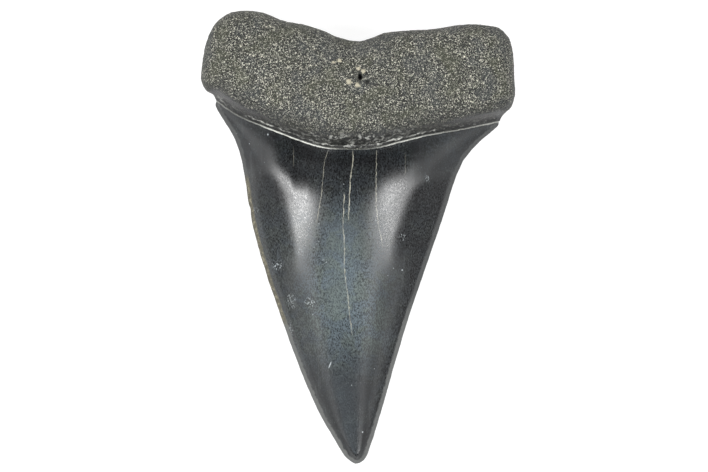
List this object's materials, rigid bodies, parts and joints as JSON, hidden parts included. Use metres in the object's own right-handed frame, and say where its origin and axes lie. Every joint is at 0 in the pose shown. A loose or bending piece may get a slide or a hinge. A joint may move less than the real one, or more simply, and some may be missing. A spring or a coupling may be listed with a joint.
{
  "type": "fossil shark tooth",
  "caption": "Fossil mako shark tooth lying flat: broad triangular blade with bare cutting edges, two-lobed grainy root and a nutrient pit.",
  "frame": {"origin": "under the middle of the tooth's bounding box, on the surface that the tooth lies on", "axes": "+Y from the crown's tip towards the root, +Z from the flat labial face up to the bulging lingual face, +X to the right seen from above with the tip towards the viewer"},
  "size_m": [0.0376, 0.0544, 0.0105],
  "materials": {
    "fossil": "satin"
  },
  "bodies": {
    "root": {"tooth": "fossil"}
  },
  "joints": []
}
